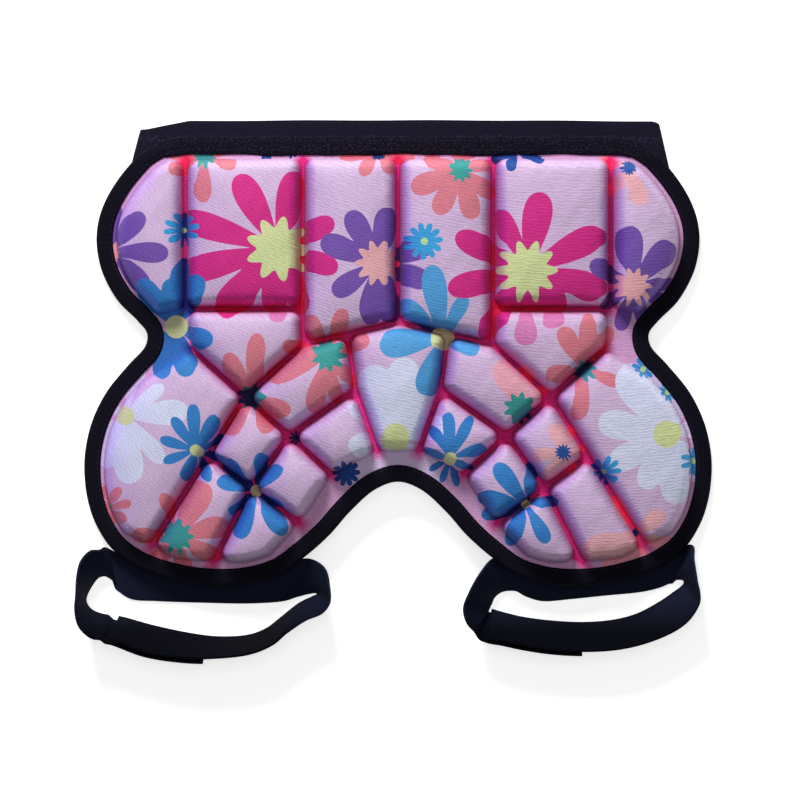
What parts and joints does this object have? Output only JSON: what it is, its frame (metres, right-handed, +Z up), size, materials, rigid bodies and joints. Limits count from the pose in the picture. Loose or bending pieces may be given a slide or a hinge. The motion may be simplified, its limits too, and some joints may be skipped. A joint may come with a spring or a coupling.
{
  "type": "tailbone protector",
  "caption": "Child's padded hip and tailbone guard: raised foam blocks under printed cloth, a bound edge, an elastic waistband loop and two elastic leg loops.",
  "frame": {"origin": "middle of the whole part's box seen from above, on the surface that it lies on", "axes": "+Z up, through the foam blocks; +Y towards the waistband; +X to the side shown right in the picture; millimetres in the source, metres here"},
  "size_m": [0.3542, 0.3018, 0.0339],
  "materials": {
    "printed_cloth": "rib-knit polyester with a flower print",
    "padded_cloth": "rib-knit polyester with a flower print over moulded foam",
    "knit_binding": "matt knit tape, stitched",
    "wide_elastic": "ribbed elastic webbing",
    "strap_elastic": "ribbed elastic webbing",
    "hook_tape": "hook tape"
  },
  "bodies": {
    "root": {"backing_panel": "printed_cloth", "foam_block_tailbone": "padded_cloth", "foam_block_left_01": "padded_cloth", "foam_block_left_02": "padded_cloth", "foam_block_left_03": "padded_cloth", "foam_block_left_04": "padded_cloth", "foam_block_left_05": "padded_cloth", "foam_block_left_06": "padded_cloth", "foam_block_left_07": "padded_cloth", "foam_block_left_08": "padded_cloth", "foam_block_left_09": "padded_cloth", "foam_block_left_10": "padded_cloth", "foam_block_left_11": "padded_cloth", "foam_block_right_01": "padded_cloth", "foam_block_right_02": "padded_cloth", "foam_block_right_03": "padded_cloth", "foam_block_right_04": "padded_cloth", "foam_block_right_05": "padded_cloth", "foam_block_right_06": "padded_cloth", "foam_block_right_07": "padded_cloth", "foam_block_right_08": "padded_cloth", "foam_block_right_09": "padded_cloth", "foam_block_right_10": "padded_cloth", "foam_block_right_11": "padded_cloth", "edge_binding": "knit_binding", "waistband": "wide_elastic", "leg_strap_left": "strap_elastic", "leg_strap_right": "strap_elastic", "hook_tab_left": "hook_tape", "hook_tab_right": "hook_tape"}
  },
  "joints": []
}
